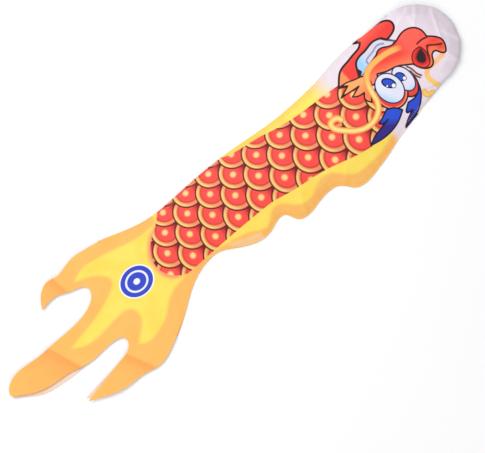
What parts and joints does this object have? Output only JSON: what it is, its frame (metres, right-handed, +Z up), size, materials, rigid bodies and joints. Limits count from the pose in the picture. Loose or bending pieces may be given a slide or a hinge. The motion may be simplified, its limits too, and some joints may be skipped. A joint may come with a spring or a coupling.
{
  "type": "carp streamer",
  "caption": "Flat-lying cloth carp streamer: a sewn fish-shaped wind tube with a hooped mouth and a free three-pronged tail, jointed to wave in the wind.",
  "frame": {"origin": "bottom centre of the streamer as it lies on its side", "axes": "+X from the tail to the mouth, +Y towards the belly, +Z up from the surface it lies on"},
  "size_m": [0.7003, 0.168, 0.0152],
  "materials": {
    "printed_cloth": "printed polyester, satin weave",
    "hem_cloth": "double polyester, satin weave",
    "thread": "overlocked polyester thread",
    "hoop_wire": "drawn spring wire",
    "crimp_metal": "satin",
    "eyelet_brass": "polished, rolled"
  },
  "bodies": {
    "mouth": {"mouth_hoop": "hoop_wire", "hoop_sleeve": "crimp_metal", "mouth_hem": "hem_cloth", "hem_stitching": "thread", "bridle_eyelets": "eyelet_brass", "near_panel_head": "printed_cloth", "far_panel_head": "printed_cloth", "belly_seam_head": "thread", "dorsal_seam_head": "thread"},
    "fore_body": {"near_panel_fore": "printed_cloth", "far_panel_fore": "printed_cloth", "belly_seam_fore": "thread", "dorsal_seam_fore": "thread"},
    "rear_body": {"near_panel_rear": "printed_cloth", "far_panel_rear": "printed_cloth", "belly_seam_rear": "thread", "dorsal_seam_rear": "thread"},
    "tail": {"near_tail_fin": "printed_cloth", "far_tail_fin": "printed_cloth", "belly_seam_tail": "thread", "dorsal_seam_tail": "thread"},
    "upper_prong": {"near_upper_prong": "printed_cloth", "far_upper_prong": "printed_cloth"},
    "middle_prong": {"near_middle_prong": "printed_cloth", "far_middle_prong": "printed_cloth"},
    "lower_prong": {"near_lower_prong": "printed_cloth", "far_lower_prong": "printed_cloth"}
  },
  "joints": [
    {"name": "neck_bend", "type": "hinge", "parent": "mouth", "child": "fore_body", "pos_m": [0.236, 0, 0.0075], "axis": [0, 1, 0], "range_deg": [-60, 60]},
    {"name": "body_bend", "type": "hinge", "parent": "fore_body", "child": "rear_body", "pos_m": [0.09, 0, 0.0073], "axis": [0, 1, 0], "range_deg": [-60, 60]},
    {"name": "tail_bend", "type": "hinge", "parent": "rear_body", "child": "tail", "pos_m": [-0.062, 0, 0.0033], "axis": [0, 1, 0], "range_deg": [-60, 60]},
    {"name": "upper_prong_curl", "type": "hinge", "parent": "tail", "child": "upper_prong", "pos_m": [-0.219, 0.069, 0.0013], "axis": [-0.1219, 0.9925, 0], "range_deg": [-75, 75]},
    {"name": "middle_prong_curl", "type": "hinge", "parent": "tail", "child": "middle_prong", "pos_m": [-0.271, -0.002, 0.0013], "axis": [-0.3486, 0.9373, 0], "range_deg": [-75, 75]},
    {"name": "lower_prong_curl", "type": "hinge", "parent": "tail", "child": "lower_prong", "pos_m": [-0.203, -0.065, 0.0013], "axis": [-0.4274, 0.9041, 0], "range_deg": [-75, 75]}
  ]
}
